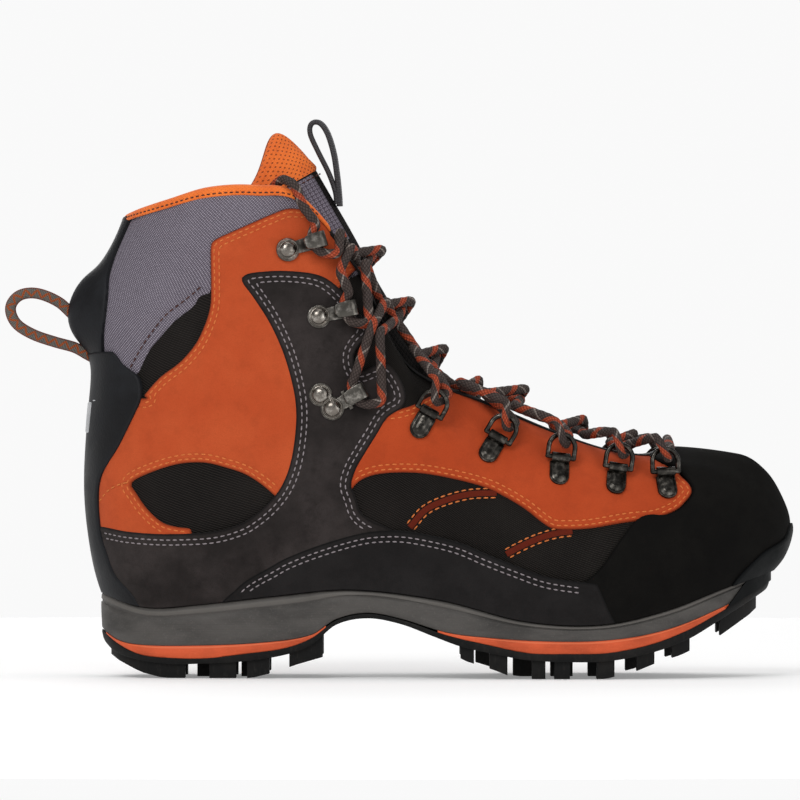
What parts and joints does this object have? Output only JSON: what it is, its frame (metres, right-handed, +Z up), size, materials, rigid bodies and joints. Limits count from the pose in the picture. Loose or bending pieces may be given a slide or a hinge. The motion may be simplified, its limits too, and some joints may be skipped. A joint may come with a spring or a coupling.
{
  "type": "mountaineering boot",
  "caption": "Ankle-high mountaineering boot: layered upper, laced through D-rings and hooks, padded tongue, pull loops, lugged sole with toe bumper.",
  "frame": {"origin": "on the ground under the middle of the boot's box", "axes": "+X from heel to toe, +Z up, -Y the lateral side of a right boot"},
  "size_m": [0.3535, 0.1106, 0.2522],
  "materials": {
    "sole_rubber": "matte moulded rubber",
    "bumper_rubber": "matte rubber",
    "midsole_foam": "matte moulded foam",
    "insert_foam": "matte moulded foam",
    "spring_steel": "brushed",
    "fibre_board": "matte fibre board",
    "footbed_felt": "felt",
    "lining_mesh": "perforated knit",
    "padding_foam": "open foam",
    "stiffener": "matte",
    "black_textile": "ribbed woven",
    "grey_fabric": "dotted woven",
    "orange_nubuck": "nubuck",
    "orange_eyestay": "nubuck",
    "grey_nubuck": "nubuck",
    "black_nubuck": "nubuck",
    "strap_leather": "fine grain",
    "reflector_film": "satin",
    "binding_tape": "knit tape",
    "heel_webbing": "webbing with a zigzag",
    "tongue_webbing": "flat webbing",
    "tongue_cloth": "woven",
    "black_nickel": "black nickel",
    "aged_nickel": "antique nickel",
    "rivet_metal": "antique nickel",
    "lace_cord": "braided",
    "lace_tip_film": "gloss"
  },
  "bodies": {
    "boot": {"outsole": "sole_rubber", "midsole": "midsole_foam", "heel_insert": "insert_foam", "forefoot_insert": "insert_foam", "shank": "spring_steel", "lasting_board": "fibre_board", "footbed": "footbed_felt", "lining": "lining_mesh", "collar_foam": "padding_foam", "quarter_foam": "padding_foam", "heel_counter": "stiffener", "toe_puff": "stiffener", "textile_upper": "black_textile", "collar_fabric": "grey_fabric", "rear_quarters": "orange_nubuck", "eyestays": "orange_eyestay", "wing_panels": "grey_nubuck", "side_rands": "grey_nubuck", "toe_cap": "black_nubuck", "back_strap": "strap_leather", "heel_strap": "strap_leather", "heel_reflector": "reflector_film", "toe_bumper": "bumper_rubber", "collar_binding": "binding_tape", "ring_clips": "black_nickel", "top_hooks": "aged_nickel", "ankle_hooks": "aged_nickel", "lock_hooks": "aged_nickel", "hook_rivets": "rivet_metal", "lace": "lace_cord", "lace_tips": "lace_tip_film"},
    "tongue": {"tongue_face": "tongue_cloth", "tongue_foam": "padding_foam", "tongue_lining": "lining_mesh"},
    "tongue_pull": {"tongue_loop": "tongue_webbing"},
    "heel_pull": {"heel_loop": "heel_webbing"},
    "ring_1_lateral": {"d_ring_1_lateral": "black_nickel"},
    "ring_2_lateral": {"d_ring_2_lateral": "black_nickel"},
    "ring_3_lateral": {"d_ring_3_lateral": "black_nickel"},
    "ring_4_lateral": {"d_ring_4_lateral": "black_nickel"},
    "ring_5_lateral": {"d_ring_5_lateral": "black_nickel"},
    "ring_1_medial": {"d_ring_1_medial": "black_nickel"},
    "ring_2_medial": {"d_ring_2_medial": "black_nickel"},
    "ring_3_medial": {"d_ring_3_medial": "black_nickel"},
    "ring_4_medial": {"d_ring_4_medial": "black_nickel"},
    "ring_5_medial": {"d_ring_5_medial": "black_nickel"}
  },
  "joints": [
    {"name": "ring_1_lateral_swing", "type": "hinge", "parent": "boot", "child": "ring_1_lateral", "pos_m": [0.01491, -0.04699, 0.11976], "axis": [0.8696, -0.015, -0.4936], "range_deg": [-4, 4]},
    {"name": "ring_2_lateral_swing", "type": "hinge", "parent": "boot", "child": "ring_2_lateral", "pos_m": [0.04581, -0.04136, 0.10835], "axis": [0.862, -0.0418, -0.5052], "range_deg": [-4, 4]},
    {"name": "ring_3_lateral_swing", "type": "hinge", "parent": "boot", "child": "ring_3_lateral", "pos_m": [0.07403, -0.03932, 0.09937], "axis": [0.9768, 0.1663, -0.1347], "range_deg": [-4, 4]},
    {"name": "ring_4_lateral_swing", "type": "hinge", "parent": "boot", "child": "ring_4_lateral", "pos_m": [0.09988, -0.03513, 0.09481], "axis": [0.9782, 0.1194, -0.1701], "range_deg": [-4, 4]},
    {"name": "ring_5_lateral_swing", "type": "hinge", "parent": "boot", "child": "ring_5_lateral", "pos_m": [0.12145, -0.03166, 0.09287], "axis": [0.9776, 0.21, 0.0169], "range_deg": [-4, 4]},
    {"name": "ring_1_medial_swing", "type": "hinge", "parent": "boot", "child": "ring_1_medial", "pos_m": [0.0148, 0.04115, 0.11979], "axis": [-0.8727, -0.0342, 0.487], "range_deg": [-4, 4]},
    {"name": "ring_2_medial_swing", "type": "hinge", "parent": "boot", "child": "ring_2_medial", "pos_m": [0.04553, 0.0378, 0.1085], "axis": [-0.875, -0.1032, 0.4731], "range_deg": [-4, 4]},
    {"name": "ring_3_medial_swing", "type": "hinge", "parent": "boot", "child": "ring_3_medial", "pos_m": [0.07361, 0.03855, 0.09942], "axis": [-0.9924, 0.091, 0.0827], "range_deg": [-4, 4]},
    {"name": "ring_4_medial_swing", "type": "hinge", "parent": "boot", "child": "ring_4_medial", "pos_m": [0.09949, 0.03721, 0.09487], "axis": [-0.992, 0.0528, 0.1148], "range_deg": [-4, 4]},
    {"name": "ring_5_medial_swing", "type": "hinge", "parent": "boot", "child": "ring_5_medial", "pos_m": [0.12103, 0.03628, 0.09285], "axis": [-0.9884, 0.1337, -0.0726], "range_deg": [-4, 4]},
    {"name": "tongue_rock", "type": "hinge", "parent": "boot", "child": "tongue", "pos_m": [0.118, 0.0021, 0.089], "axis": [0, 1, 0], "range_deg": [-4, 0], "stiffness_Nm_per_rad": 8},
    {"name": "tongue_loop_flex", "type": "hinge", "parent": "tongue", "child": "tongue_pull", "pos_m": [-0.0266, -0.0021, 0.2185], "axis": [0, 1, 0], "range_deg": [-4, 15], "stiffness_Nm_per_rad": 0.05},
    {"name": "heel_loop_flex", "type": "hinge", "parent": "boot", "child": "heel_pull", "pos_m": [-0.142, 0, 0.154], "axis": [0, 1, 0], "range_deg": [-8, 8], "stiffness_Nm_per_rad": 0.05}
  ]
}
